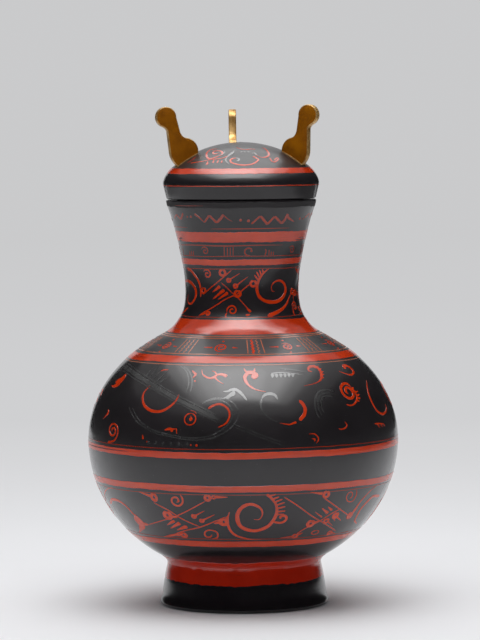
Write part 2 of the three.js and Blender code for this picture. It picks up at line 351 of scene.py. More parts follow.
def black_lacquer(name="black_lacquer", smooth=0.4, dull=0.5, polish=1.0):
    """Deep black lacquer: a polished coat over a hazy ground, brushed round the jar, dusty."""
    n = Nodes(name)
    ground = n.ramp(
        n.noise(28, 4), (0.35, (0.008, 0.006, 0.0075)), (0.7, (0.0125, 0.0095, 0.0115)),
    )
    specks = n.ramp(n.noise(900, 1), (0.74, 0.0), (0.8, 1.0))
    n.surface(
        Base_Color=n.mix(specks, ground, (0.03, 0.03, 0.032)),
        Roughness=n.ramp(n.noise(45, 5), (0.3, smooth), (0.72, dull)),
        IOR=1.62 - 0.25 * polish, Coat_Weight=polish, Coat_Roughness=0.15, Coat_IOR=1.45,
    )
    n.bump(n.noise(14, 4, (1, 1, 26)), 0.00003)
    n.bump(n.noise(9, 2), 0.0004, 0.35)
    grainy = smooth > 0.3
    if grainy:
        n.bump(n.noise(800, 2), 0.000012)
    return n.material


def vermilion_lacquer(name="vermilion_lacquer", share=1.0, warmth=1.0):
    """Hand-brushed vermilion with thinner, browner streaks; share is how well it covers."""
    n = Nodes(name)
    streaks = n.noise(20, 4, (1, 1, 22), 0.6)
    cloud = n.noise(60, 3)
    dark = (0.5 * share, 0.03 * share * warmth, 0.002 * warmth**2)
    light = (0.62 * share, 0.042 * share * warmth, 0.004 * warmth**2)
    thin = n.ramp(streaks, (0.62, 0.0), (0.74, 1.0))
    full = n.ramp(cloud, (0.3, dark), (0.7, light))
    n.surface(
        Base_Color=n.mix(thin, full, (0.26 * share, 0.016 * share, 0.004)),
        Roughness=n.ramp(cloud, (0.3, 0.13), (0.75, 0.2)),
        IOR=1.7,
    )
    n.bump(streaks, 0.00003)
    bristles = n.noise(34, 3, (1, 1, 46), 0.6)
    n.bump(bristles, 0.000035)
    return n.material


def grey_lacquer(name, shade):
    """Grey line work, a shade lighter and glossier than its ground."""
    n = Nodes(name)
    cloud = n.noise(120, 3)
    n.surface(
        Base_Color=n.ramp(cloud, (0.3, shade), (0.7, 1.6 * shade)),
        Roughness=n.ramp(cloud, (0.3, 0.2), (0.75, 0.3)),
        IOR=1.82,
    )
    n.bump(n.noise(300, 2), 0.00005)
    return n.material


def gilt_lacquer(name, dark, light, metallic, roughness, ripple=0.00006):
    """Gold lacquer brushed on wood, mottled between two tones."""
    n = Nodes(name)
    patches = n.noise(110, 4, roughness=0.65)
    n.surface(
        Base_Color=n.ramp(patches, (0.36, dark), (0.66, light)),
        Roughness=n.ramp(patches, (0.3, roughness + 0.1), (0.7, roughness - 0.06)),
        Metallic=metallic, IOR=1.2,
    )
    n.bump(n.noise(420, 3), ripple)
    return n.material


BLACK = black_lacquer()
SATIN_BLACK = black_lacquer("satin_black_lacquer", 0.36, 0.46, 0.2)
POLISHED_BLACK = black_lacquer("polished_black_lacquer", 0.13, 0.2, 0.0)
VERMILION = vermilion_lacquer()
THIN_VERMILION = vermilion_lacquer("thin_vermilion", 0.55)
GREY = grey_lacquer("grey_lacquer", 0.03)
# A paler, pinker vermilion for the shoulder's thin lines and combs: the strokes are real, their
# paleness is a painted highlight for the sheen the shoulder catches
PINK_PAINTED_SHEEN = vermilion_lacquer("vermilion_painted_sheen", 0.8, 4.5)
# A lighter copy of the grey lacquer: a painted highlight for grey strokes that lie in the sheen of
# the overhead lamps
GREY_PAINTED_HIGHLIGHT = grey_lacquer("grey_lacquer_painted_highlight", 0.13)
WORN = black_lacquer("worn_black_lacquer", 0.6, 0.75, 0.0)
FOOT_VERMILION = vermilion_lacquer("foot_vermilion", 0.95, 0.5)
INSIDE = vermilion_lacquer("inner_vermilion")
# The knobs' faces: the same gold painted dark and almost without metal, painted shade for the dark
# front they reflect; the edges keep the bright gold
GILT_FACE_PAINTED_SHADE = gilt_lacquer("gilt_face_painted_shade", (0.23, 0.072, 0.0005), (0.34, 0.115, 0.001), 0.1, 0.42)
GILT_EDGE = gilt_lacquer("gilt_edge", (0.3, 0.15, 0.035), (0.78, 0.52, 0.22), 0.55, 0.36, 0.00012)


def paint(piece, index, within):
    """Gives one of the piece's materials to the faces whose middle passes within(r, z)."""
    for face in piece.data.polygons:
        middle = face.center / MM
        if within(math.hypot(middle.x, middle.y), middle.z):
            face.material_index = index


# Turned sections


def skin(node, body, outline, *materials):
    """A turned piece over one black node of the frame."""
    return dress(revolve(node + "_skin", outline), body, materials, node)


def paint_inside(piece, low=0):
    """Paints the jar's inside, which is all that lies within the middle of its wall."""
    def within(r, z):
        middle = JAR.at(JAR.length_at(z))[0] - WALL / 2
        return low < z < MOUTH_HEIGHT - 1 and r < middle + 1
    paint(piece, 1, within)


def turned_sections():
    """The foot ring, the two halves of the belly and the neck."""
    ring_inside = FOOT_WAIST_RADIUS - FOOT_WALL
    skirt_height, soft = 12, 0.6
    skin("foot_ring", "jar", [
        *FOOT.stretch(0, FOOT_HEIGHT - 1.2),
        (FOOT_WAIST_RADIUS, FOOT_HEIGHT),
        (ring_inside, FOOT_HEIGHT),
        (ring_inside, skirt_height),
        (FOOT_RADIUS - FOOT_WALL - soft, soft),
        (FOOT_RADIUS - FOOT_WALL, 0),
    ], POLISHED_BLACK)

    boss_radius = ring_inside - JOINT_LINE
    boss_bottom = FOOT_HEIGHT - 5
    foot_joint = FOOT_HEIGHT + JOINT_LINE
    bowl = skin("lower_belly", "jar", [
        (0, boss_bottom),
        (boss_radius, boss_bottom),
        (boss_radius, foot_joint),
        *JAR.stretch(foot_joint, EQUATOR_JOINT),
        *reversed(JAR.stretch(FLOOR_HEIGHT + 2, EQUATOR_JOINT, -WALL)),
        (0, FLOOR_HEIGHT),
    ], BLACK, INSIDE, POLISHED_BLACK)
    paint(bowl, 2, lambda r, z: z < LOW_BAND)
    paint_inside(bowl, FLOOR_HEIGHT - 1)

    joint = EQUATOR_JOINT + JOINT_LINE
    shoulder = skin("upper_belly", "jar", [
        *JAR.stretch(joint, NECK_JOINT),
        *reversed(JAR.stretch(joint, NECK_JOINT, -WALL)),
    ], BLACK, INSIDE, SATIN_BLACK)
    paint(shoulder, 2, lambda r, z: z > SHOULDER_BAND)
    paint_inside(shoulder)

    joint = NECK_JOINT + JOINT_LINE
    edge = 0.9
    bore_floor = MOUTH_HEIGHT - PLUG_DEPTH - 1.5
    neck = skin("neck", "jar", [
        *JAR.stretch(joint, MOUTH_HEIGHT - edge),
        (MOUTH_RADIUS - 0.3, MOUTH_HEIGHT - 0.25),
        (MOUTH_RADIUS - edge, MOUTH_HEIGHT),
        (PLUG_BORE_RADIUS + soft, MOUTH_HEIGHT),
        (PLUG_BORE_RADIUS, MOUTH_HEIGHT - soft),
        (PLUG_BORE_RADIUS, bore_floor),
        *reversed(JAR.stretch(joint, bore_floor - 3, -WALL)),
    ], BLACK, INSIDE)
    paint_inside(neck)


def lid_sections():
    """The lid's hollow shell and the ring that plugs the mouth."""
    hollow_radius = PLUG_RADIUS - PLUG_WALL
    hollow = [(r, dome_height(r, -LID_WALL)) for r in np.linspace(0, hollow_radius, 25)]
    seat = LID_BASE + PLUG_SEAT
    shell = skin("lid_shell", "lid", [
        *LID.stretch(LID_BASE, LID_BASE + LID_HEIGHT - 0.001)[:-1],
        (0, LID_BASE + LID_HEIGHT),
        *hollow,
        (hollow_radius, seat),
        (PLUG_RADIUS + JOINT_LINE, seat),
        (PLUG_RADIUS + JOINT_LINE, LID_BASE),
    ], BLACK, INSIDE, SATIN_BLACK)
    paint(shell, 2, lambda r, z: z > dome_height(LID_SHOULDER_RADIUS))
    paint(shell, 1, lambda r, z: r < hollow_radius + 0.5 and z < dome_height(r, -LID_WALL / 2))

    edge, soft, corner = 0.9, 0.3, 0.26
    bottom = MOUTH_HEIGHT - PLUG_DEPTH
    skin("lid_plug_ring", "lid", [
        (hollow_radius, bottom + soft),
        (hollow_radius + soft, bottom),
        (PLUG_RADIUS - edge, bottom),
        (PLUG_RADIUS - corner, bottom + corner),
        (PLUG_RADIUS, bottom + edge),
        (PLUG_RADIUS, seat - JOINT_LINE),
        (hollow_radius, seat - JOINT_LINE),
    ], BLACK)


# Brushwork


class Brush:
    """Raised lacquer strokes on one turned outline, gathered into one mesh."""

    def __init__(self, outline, rise=0.0):
        self.outline = outline
        self.top = PAINT_LIFT + rise
        self.verts = []
        self.faces = []
        self.count = 0
        self.settle()

    def settle(self, turn=0, side=1, swap=None):
        """Turns what follows about the axis, mirrors it if side is -1, and turns it upside down
        between the two heights of swap."""
        self.turn = turn
        self.side = side
        self.swap = swap

    def add(self, verts, rings, size, wrap=False):
        """Adds rings of size vertices each, with the faces between them."""
        self.verts.append(verts)
        self.faces += quads(self.count, rings, size, wrap)
        self.count += rings * size

    def on_surface(self, points):
        """(azimuth, height) points as (azimuth in radians, length along the outline)."""
        azimuth, height = np.array(points, float).T
        if self.swap:
            height = sum(self.swap) - height
        azimuth = np.radians(self.turn + self.side * azimuth)
        return np.column_stack([azimuth, self.outline.length_at(height)])

    def lay(self, line, half):
        """Adds a stroke along a line of (radians, length) points with half widths."""
        azimuth, t = line.T
        radius = self.outline.at(t)[0]
        dx = np.gradient(azimuth) * radius
        dy = np.gradient(t)
        length = np.maximum(np.hypot(dx, dy), 1e-9)
        side_x, side_y = -dy / length, dx / length
        section = ((-1.1, -PAINT_SINK), (-0.9, self.top), (0.9, self.top), (1.1, -PAINT_SINK))
        rows = []
        for across, lift in section:
            a = azimuth + across * half * side_x / radius
            r, z = self.outline.offset(t + across * half * side_y, lift)
            rows.append(np.column_stack([r * np.sin(a), -r * np.cos(a), z]))
        first, last = self.count, self.count + 4 * len(line) - 4
        self.add(np.stack(rows, 1).reshape(-1, 3), len(line), 4)
        self.faces.append((first, first + 1, first + 2, first + 3))
        self.faces.append((last + 3, last + 2, last + 1, last))

    def widths(self, line, width, shape):
        """Half widths along a stroke of one of the shapes."""
        s = np.linspace(0, 1, len(line))

        def start(rate):
            return np.clip(s * rate + 0.3, 0, 1)

        def end(rate):
            return np.clip((1 - s) * rate + 0.3, 0, 1)

        form = {
            "even": np.clip(np.minimum(s, 1 - s) * 14, 0.25, 1),
            "taper": np.clip(np.sin(np.pi * s), 0, 1) ** 0.6 * 0.92 + 0.08,
            "tail": start(9) * (1 - s) ** 0.75 * 0.95 + 0.05,
            "brushed": start(16) * (1 - 0.5 * s**2) * end(14),
            "swell": (0.2 + 0.8 * np.sin(np.pi * np.clip(s * 1.15, 0, 1)) ** 0.8) * end(9),
        }[shape]
        wobble = [1 + 0.16 * noise.noise(Vector((a * 40, t * 0.4, 3))) for a, t in line]
        return width / 2 * form * np.array(wobble)

    def stroke(self, shape, width, *points):
        """A brush stroke through (azimuth, height) points."""
        line = self.on_surface(points)
        radius = self.outline.at(line[:, 1])[0].mean()
        length = np.hypot(np.diff(line[:, 0]) * radius, np.diff(line[:, 1])).sum()
        per_span = max(2, round(length / STROKE_STEP / (len(points) - 1)))
        line = spline(line, per_span)
        self.lay(line, self.widths(line, width, shape))

    even = partialmethod(stroke, "even")
    taper = partialmethod(stroke, "taper")
    tail = partialmethod(stroke, "tail")
    brushed = partialmethod(stroke, "brushed")
    swell = partialmethod(stroke, "swell")

    def ticks(self, width, *rows):
        """Short strokes from one azimuth and height to another."""
        for row in rows:
            self.brushed(width, row[:2], row[2:])

    def tears(self, *rows):
        """Tear-shaped dabs: azimuth and height of the thick and the thin end, then the width."""
        for *ends, width in rows:
            self.tail(width, ends[:2], ends[2:])

    def local(self, azimuth, height, offsets):
        """Offsets in millimetres round a place, as (azimuth, height) points."""
        t = self.outline.length_at(height)
        radius = self.outline.at(t)[0]
        x, y = np.array(offsets, float).T
        heights = self.outline.at(t + y)[1]
        return self.on_surface(np.column_stack([azimuth + np.degrees(x / radius), heights]))

    def spiral(self, azimuth, height, radius, turns=1.6, width=1.1, start=0, way=1, core=0.12,
               tall=1):
        """A spiral that ends at its outer radius; start is its outer end's direction."""
        offsets = []
        for s in np.linspace(0, 1, max(10, round(22 * turns)) + 1):
            reach = radius * (core + (1 - core) * s)
            angle = math.radians(start) - way * 2 * math.pi * turns * (1 - s)
            offsets.append((reach * math.cos(angle), tall * reach * math.sin(angle)))
        line = self.local(azimuth, height, offsets)
        self.lay(line, self.widths(line, width, "even"))

    def rings(self, *rows):
        """Rings with a bare middle: azimuth, height, radius and width, then how tall for wide."""
        for azimuth, height, radius, width, *tall in rows:
            self.spiral(azimuth, height, radius - width / 2, 1.04, width, 90, 1, 1, *tall)

    def dots(self, *rows):
        """Round dots of an azimuth, a height and a size."""
        s = np.linspace(-1, 1, 9)
        for azimuth, height, size in rows:
            line = self.local(azimuth, height, [(size / 2 * x, 0) for x in s])
            self.lay(line, size / 2 * np.sqrt(np.maximum(1 - s**2, 0.02)))

    def drop(self, azimuth, height, radius, tail, width=0.9):
        """A ring with a thin tail drawn out to a point."""
        self.rings((azimuth, height, radius, radius * 0.75))
        self.tail(width, (azimuth, height), tail)

    def line(self, height, width=0.7, sway=0.25, seed=0):
        """A thin line all the way round."""
        self.band(height - width / 2, height + width / 2, sway, seed)

    def band(self, low, high, sway, seed):
        """A brushed band all the way round whose edges waver by up to sway."""
        columns = 288
        rows = max(2, round((high - low) / 1.5) + 1)
        verts = []
        for angle in 2 * np.pi * np.arange(columns) / columns:
            way = Vector((math.sin(angle), math.cos(angle), 0))

            def wave(rate, level):
                return sway * noise.noise(way * rate + Vector((0, 0, level)))

            drift = wave(2.2, seed + 0.5)
            ta = self.outline.length_at(low + drift + 0.5 * wave(14, seed))
            tb = self.outline.length_at(high + drift + 0.5 * wave(14, seed + 9))
            inset = min(0.2, (tb - ta) * 0.2)
            for start, end, lift in ((ta + inset, tb - inset, self.top), (tb, ta, -PAINT_SINK)):
                r, z = self.outline.offset(np.linspace(start, end, rows), lift)
                verts.append(np.column_stack([r * math.sin(angle), -r * math.cos(angle), z]))
        self.add(np.vstack(verts), columns, 2 * rows, True)

    def build(self, name, body, slot, material):
        piece = make_mesh(name, np.vstack(self.verts), self.faces, 20)
        return dress(piece, body, [material])


def painted_bands():
    """Vermilion bands and lines that divide the jar into zones."""
    foot = Brush(FOOT)
    foot.band(17.6, FOOT_HEIGHT + 3.3, 1.2, 2)
    foot.build("foot_band", "jar", "vermilion_lacquer", FOOT_VERMILION)

    ink = Brush(JAR)
    for seed, (low, high, sway) in enumerate((
        (44.6, 48.7, 0.5), (81.6, 85.8, 0.6), (102.8, 107.0, 0.7), (160.4, 164.4, 0.4),
        (176.5, 185.5, 0.4), (219.9, 223.8, 0.5), (234.4, 241.0, 0.7),
    )):
        ink.band(low, high, sway, seed)
    ink.build("jar_bands", "jar", "vermilion_lacquer", VERMILION)

    ink = Brush(JAR)
    for seed, height in enumerate((50.1, 79.9, 108.9, 187.0, 217.6, 225.6)):
        ink.line(height, 0.6, 0.3, seed + 20)
    ink.taper(0.7, *((a, 232.5 + 0.15 * math.sin(a * 0.1)) for a in range(-95, 49, 8)))
    ink.taper(0.6, *((a, 243.2) for a in range(-27, 52, 8)))
    ink.taper(0.6, *((a, 243.9) for a in range(-92, -44, 8)))
    ink.taper(0.35, *((a, 257.8) for a in range(-62, -22, 8)))
    small_band(ink)
    zigzag(ink)
    ink.build("jar_lines", "jar", "vermilion_lacquer", THIN_VERMILION)

    black = Brush(JAR, 0.04)
    black.taper(0.8, (-74, 236.2), (-69, 236.8), (-64, 236.4))
    black.taper(0.5, (-75, 235.3), (-70, 235.2), (-66, 235.5))
    black.taper(0.7, (56, 235.6), (64, 235.1), (70, 235.4), (76, 235.2))
    black.taper(0.4, (60, 236.7), (66, 236.4), (72, 236.6))
    black.taper(0.5, *((a, 105.4) for a in range(-82, -40, 6)))
    black.taper(0.4, *((a, 179) for a in range(-80, -58, 6)))
    black.build("dry_streaks", "jar", "black_lacquer", WORN)

    lip = Brush(JAR, -0.03)
    lip.band(256.6, 260.3, 0.9, 60)
    lip.build("worn_lip", "jar", "black_lacquer", WORN)

    lid = Brush(LID)
    lid.band(278.0, 281.6, 0.5, 40)
    lid.line(270.2, 0.7, 0.3, 41)
    lid.build("lid_bands", "lid", "vermilion_lacquer", VERMILION)


def lower_scroll(ink):
    """The big spiral of the lower zone with its toothed back, its hook and its tail."""
    ink.swell(2.7, (8.7, 80), (11.8, 75.2), (13.1, 69.5), (12.4, 63.8), (9.8, 58.6), (4.3, 56.1),
        (-1.3, 59.1), (-2.7, 66), (-0.9, 71.7), (2.7, 74), (6.3, 71.5), (7.4, 67.4), (6.3, 64),
        (4.1, 63.9))
    ink.brushed(1.6, (8.6, 80.2), (10.6, 77.4), (12.4, 73.4), (13.1, 69))
    ink.ticks(1.2, (9.6, 79, 12.2, 80.2), (11, 77, 13.4, 78.4), (12, 75, 14.8, 76.8),
        (12.6, 72.9, 15.8, 74.6), (12.9, 70.7, 16.3, 71.9), (13, 68.6, 16.6, 69),
        (13, 66.8, 16.4, 66.8))
    ink.even(1.7, (12, 62), (15.2, 61.1), (17.2, 62.3), (17.6, 64.3), (16.6, 65.8), (15, 65.3),
        (15.1, 63.9))
    ink.taper(1.7, (8.4, 50.2), (3.2, 50.2), (-0.5, 51.3), (-3.4, 52.8), (-5.1, 54.8), (-6.3, 57.6),
        (-6.7, 61), (-6.5, 65), (-5.7, 69))


def lower_knot_left(ink):
    """Crossing lines with rings, drops and tears, to the left of the lower spiral."""
    ink.even(0.7, (-14.5, 76.1), (-21.6, 70.2), (-26.1, 66.9), (-31.5, 63.8), (-38, 61),
        (-48.4, 56.9))
    ink.even(0.75, (-37.5, 73.6), (-34, 70.9), (-30.8, 68.4), (-26.3, 63.6), (-18.7, 58.3))
    ink.even(0.8, (-7.2, 65.7), (-11.6, 62.9), (-18.7, 58.6), (-25.3, 56.2), (-33.2, 52.8))
    ink.tail(3.4, (-31, 52.4), (-34, 52), (-41.3, 50))
    ink.drop(-20.6, 65.7, 1.9, (-15.7, 69.5), 1.4)
    ink.drop(-17.6, 62.9, 1.8, (-11.8, 67.1), 1.4)
    ink.even(1.2, (-24.6, 79.9), (-23.9, 77), (-24.3, 74.3), (-25.8, 72.4), (-27.5, 72.5),
        (-28.7, 74.3), (-28.5, 76.7), (-27.1, 77.9), (-25.9, 77.2), (-25.8, 75.5), (-26.7, 74.6))
    ink.even(1, (-15.1, 50.4), (-12.8, 51.1), (-11.9, 53), (-12.2, 55.3), (-13.9, 56.4),
        (-15.9, 56.4), (-17.5, 55), (-18, 53.1), (-17.3, 51.7), (-15.5, 51.9), (-14.6, 53.4))
    ink.rings((-13.8, 78, 2.6, 1.9), (-11.4, 78.6, 1.5, 1), (-36.6, 77, 2.9, 2.1, 1.2),
        (-32.7, 65.5, 3.7, 2.8), (-28.8, 52.4, 2.9, 2.1), (-8.4, 62.2, 3.4, 2.6))
    ink.tears((-10.6, 78.7, -6, 78.7, 2), (-38.2, 77.7, -43.4, 79.8, 2),
        (-31.2, 65.1, -28.2, 64.3, 2.8), (-30.3, 62, -35, 58.8, 2.5), (-28, 60.7, -34, 56.6, 3.1),
        (-25.2, 58.6, -31, 55.6, 3.1), (-9.6, 62, -12.6, 61.2, 2.8), (-7.4, 63.6, -6.3, 66.9, 2))


def lower_knot_right(ink):
    """Crossing lines with rings, drops and tears, to the right of the lower spiral."""
    ink.even(0.7, (15.3, 78.2), (20.5, 73), (28.9, 64.6), (38.2, 57.9), (47.6, 52.2))
    ink.even(0.75, (32.2, 76.1), (39.5, 69.7), (43.9, 66.3), (51.3, 61.4))
    ink.even(0.75, (42.7, 67.9), (37.9, 64.6), (33.9, 60.7), (28.1, 56.6), (24.3, 52.6))
    ink.even(0.7, (48, 80), (49, 76.9), (48.9, 74), (47.8, 71.8), (45.3, 72.3), (43.7, 74.7),
        (43.9, 77.3), (45.3, 78.4), (46.6, 76.9), (46.6, 74.9), (45.6, 74.2))
    ink.rings((33, 78.2, 2.9, 2), (29.6, 59.4, 3.2, 2.4), (24.2, 51.4, 2.3, 1.6),
        (34.3, 52.9, 2.9, 0.7, 0.7), (41.4, 63.4, 2.8, 2.3), (37.4, 60.2, 2.5, 1.7),
        (43.8, 51.6, 2.2, 1.6))
    ink.tears((31.2, 79, 25.8, 80.4, 2), (31, 60, 34.4, 60.7, 2.4), (25.6, 52.2, 27.6, 53.4, 2),
        (23.6, 51.3, 17, 50.6, 1.6), (34.2, 63.2, 29.7, 67.3, 1.1), (36.5, 65.6, 32.6, 69.3, 2.4),
        (38.1, 67.4, 35.4, 69.9, 1.9), (42.6, 62.3, 46.4, 59.4, 1.3), (41, 61.6, 42.6, 59.6, 1.1),
        (38.2, 59.9, 42.8, 56.3, 1.3), (45, 51.4, 48.6, 50.4, 1.6))


def lower_side_scrolls(ink):
    """The two scrolls that frame the lower zone's front."""
    ink.brushed(2.1, (-71, 68.4), (-65.4, 71.8), (-60, 71.8), (-56.9, 70.3), (-54.6, 67.7),
        (-52.1, 62))
    ink.swell(5.4, (-52.6, 64), (-51.3, 60.5), (-51.2, 57.5), (-53.4, 54.5), (-59.2, 50.9))
    ink.taper(0.8, (-60.8, 80.4), (-68, 77.6), (-73.7, 73.4), (-76.1, 69.8))
    ink.tail(1.8, (51.6, 63), (52.5, 66.9), (53.9, 71.2), (56.5, 75.1), (59.7, 78.4), (64.7, 81))
    ink.brushed(2.1, (70.5, 71.8), (63.4, 72.8), (60.7, 71.3), (58.3, 68.4), (56.7, 64.9),
        (57, 60.2), (58.1, 57.4), (61.8, 55.2))
    ink.rings((-52.2, 59.6, 3.6, 2.8, 1.2), (50.8, 62.2, 3, 2.2))
    ink.tears((-50.8, 58, -46.4, 57.9, 4.6), (-52, 56.6, -56.8, 52.4, 4.6),
        (51, 61.6, 53.4, 67.4, 3.2))


def neck_hook(ink):
    """The big toothed spiral of the neck, with the thick tail and the small spiral at its right."""
    ink.swell(2.3, (26.7, 217.4), (21.5, 214.6), (17.1, 210.4), (15.1, 205), (17.1, 200.4),
        (22.5, 197.4), (31, 196.2), (39.6, 196.9), (46.6, 199.7), (49.9, 203.5), (47.7, 207.3),
        (41.8, 209.5), (35.3, 209.1), (31.1, 206.5), (31.6, 203.6), (34.6, 202.6))
    ink.even(1.2, (13.5, 207), (15.6, 206))
    ink.ticks(1.1, (21.6, 214.6, 20.3, 217.3), (19.6, 213.2, 17.2, 217), (17.8, 211.8, 14.4, 215.8),
        (16.6, 210.2, 12.2, 213.8))
    ink.tail(2.8, (24.6, 187.6), (33.2, 189.3), (41.8, 191.3), (49.3, 194.3), (54.7, 198),
        (59, 201))
    ink.tail(0.9, (64.5, 202.6), (69, 202.2), (74, 203))
    ink.spiral(64, 192.6, 3.4, 1.5, 0.95, 200)
    ink.even(1, (59.5, 191.4), (58.6, 189), (59, 187.2))
    ink.rings((11.4, 208.2, 2.5, 1.5), (61.8, 202.2, 2.3, 1.4))


def neck_knot(ink):
    """Crossing lines with rings, drops and a comb, to the left of a neck hook."""
    ink.even(0.65, (-9.8, 217), (-19.2, 212), (-27, 208.2), (-34.5, 204.9), (-40, 202.4))
    ink.tail(1, (-44.6, 202.2), (-47, 205), (-47.4, 209))
    ink.drop(-13, 210.5, 1.7, (-1.7, 215))
    ink.drop(-6.3, 206.8, 1.8, (6.3, 212.8))
    ink.even(0.7, (8.6, 208.4), (2, 204.9), (-4, 201.9), (-9.8, 200.4), (-17.3, 198.2),
        (-24.8, 195.2), (-33.4, 192), (-39.9, 189.9), (-44.7, 188))
    ink.tail(1.5, (-37, 189.6), (-45.5, 187.6))
    ink.even(0.5, (-21, 208.9), (-15.2, 205.8), (-9.8, 202.4), (-3.3, 198.9), (3.1, 194.3),
        (8.2, 190.6))
    ink.spiral(-36.1, 214.2, 3.2, 1.4, 0.85, 150)
    ink.spiral(-9.6, 191.4, 3.6, 1.5, 0.95, 200)
    ink.even(0.9, (-14.8, 190), (-15.8, 188.2), (-14.6, 187))
    ink.rings((-19.2, 215.2, 2.6, 1.5), (-42.3, 203.6, 2.3, 1.4), (-4.4, 201.9, 2.6, 1.6),
        (-34.5, 189.5, 1.8, 1.4))
    ink.tears((8.4, 190.4, 4.6, 192.6, 2.2), (3.4, 188.4, 7.8, 188.8, 2),
        (-22.4, 206.6, -31, 202.8, 2.3), (-18, 204.4, -30.4, 198.4, 2.5),
        (-14.2, 202.6, -24.6, 198.2, 2.2))


def neck_zone(ink):
    """The scrolls between the neck's bands."""
    for turn, swap, knot in ((0, None, True), (111, (187, 217.6), True), (197, None, False)):
        ink.settle(turn, 1, swap)
        neck_hook(ink)
        if knot:
            neck_knot(ink)
    ink.settle()
    ink.brushed(1.9, (-67.7, 217.2), (-60.4, 216.2), (-54.8, 213.7), (-49.9, 210.6), (-47, 207.1),
        (-46.2, 203.3), (-46.1, 199.5))
    ink.swell(2.2, (-94, 198), (-92, 204), (-84, 208.6), (-73, 209.2), (-64.4, 208.7),
        (-58.5, 206.9), (-54.3, 204.1), (-53.7, 200.6), (-56.4, 197.4), (-61.6, 195), (-68, 195.2),
        (-72, 197.6), (-71, 200.4))
    ink.taper(1.6, (-94, 189.6), (-86, 188), (-78, 189), (-71, 191.2), (-67, 192.4))
    ink.settle(226)
    ink.spiral(-36.1, 212.2, 3.2, 1.4, 0.85, 150)
    ink.drop(-34, 200, 1.9, (-24, 208))
    ink.spiral(-28, 192.4, 3.4, 1.5, 0.95, 200)
    ink.settle()


def small_band(ink):
    """Small spirals and combs between the neck's two bands."""
    for turn in (0, 89, 178, 267):
        ink.settle(turn)
        ink.spiral(-35.6, 229, 2.9, 1.4, 0.65, 160)
        for azimuth, top in ((-16.2, 232.2), (-13.2, 231.4), (-10.6, 231.4), (-7.9, 232.2)):
            ink.even(0.5, (azimuth, 226), (azimuth + 0.3, top))
        ink.even(0.5, (-16.6, 232), (-7.4, 232.1))
        ink.spiral(6.3, 228.4, 2.6, 0.72, 0.8, 30, -1, 0.9)
        ink.even(0.6, (22.1, 230.2), (23, 228.4), (22, 226.2))
        if turn != 267:
            for azimuth, top in ((26, 229.6), (28.3, 228.6), (30.6, 228.4)):
                ink.even(0.6, (azimuth, 225.9), (azimuth, top))
        ink.dots((9, 229, 1.3))
    ink.settle()
    for azimuth in (-57, -54, -51.2):
        ink.tail(0.9, (azimuth, 225.9), (azimuth + 0.8, 229))


def zigzag(ink):
    """Runs of zigzag under the mouth, with pairs of dots between them."""
    for turn in (0, 136, 270):
        ink.settle(turn)
        ink.even(1.1, (-72, 249.2), (-64.4, 252))
        ink.even(1.5, (-64.4, 252), (-59.2, 249.4), (-53.3, 253))
        ink.tail(1.7, (-40.2, 252.6), (-36, 250.4), (-31.8, 247.2))
        ink.even(1.3, (-31.8, 247.3), (-26.3, 251.8))
        ink.even(1.5, (-26.3, 251.8), (-20.6, 247))
        ink.even(1.7, (-20.6, 247.2), (-17, 249.6), (-14.2, 252.4))
        ink.tail(0.7, (-14.2, 252), (-11, 249.6), (-7.1, 247.8))
        ink.dots((-49, 250.7, 1.3), (-44.6, 250.8, 1.7), (-0.6, 248.7, 1.8), (5.8, 248.2, 1.9))
        if turn == 270:
            break
        ink.even(1.2, (8.3, 246.2), (15.3, 251.2))
        ink.even(1.6, (15.3, 251.2), (21.9, 245.8))
        ink.even(1.4, (21.9, 245.9), (27.8, 250.8))
        ink.even(1.5, (27.8, 250.8), (35.4, 246))
        ink.even(1.9, (35.4, 246.2), (38.2, 249), (39.6, 252.3))
        ink.tail(2.8, (39.2, 251.8), (41.6, 249.6), (49, 247))
        ink.dots((56, 248.8, 1.8), (61.4, 248.6, 1.3))
    ink.settle()


def shoulder_band(red, pale):
    """Dotted spirals and wavy combs round the shoulder."""
    for place in range(9):
        middle = -12.6 + 40 * place
        lead = place % 3 == 0
        red.spiral(middle, 169.4, 4.4 if lead else 3.8, 1.8, 1.0, 285 if lead else 130)
        if lead:
            red.even(1, (middle - 1.4, 165.8), (middle - 0.4, 165.2))
        else:
            red.dots((middle, 166.1, 1.5))
        for tooth in range(4):
            azimuth = middle + (15.6 if lead else 12.4) + 3.1 * tooth
            bold = lead and tooth == 1
            sway = 0.5 if tooth in (1, 2) else 0.06
            wave = [(azimuth + sway * (-1) ** k, 165.8 + 0.82 * k) for k in range(11)]
            # The bold tooth is plain vermilion; the other teeth take the paler vermilion, a painted
            # highlight.
            (red if bold else pale).even(1.4 if bold else 0.7, *wave)
        red.dots((middle, 172.9, 1.6))
        red.tears((middle - 5.4, 169.4, middle - 11.2, 169.5, 1.6),
            (middle + 6.6, 169.5, middle + 10, 169.2, 1.7))


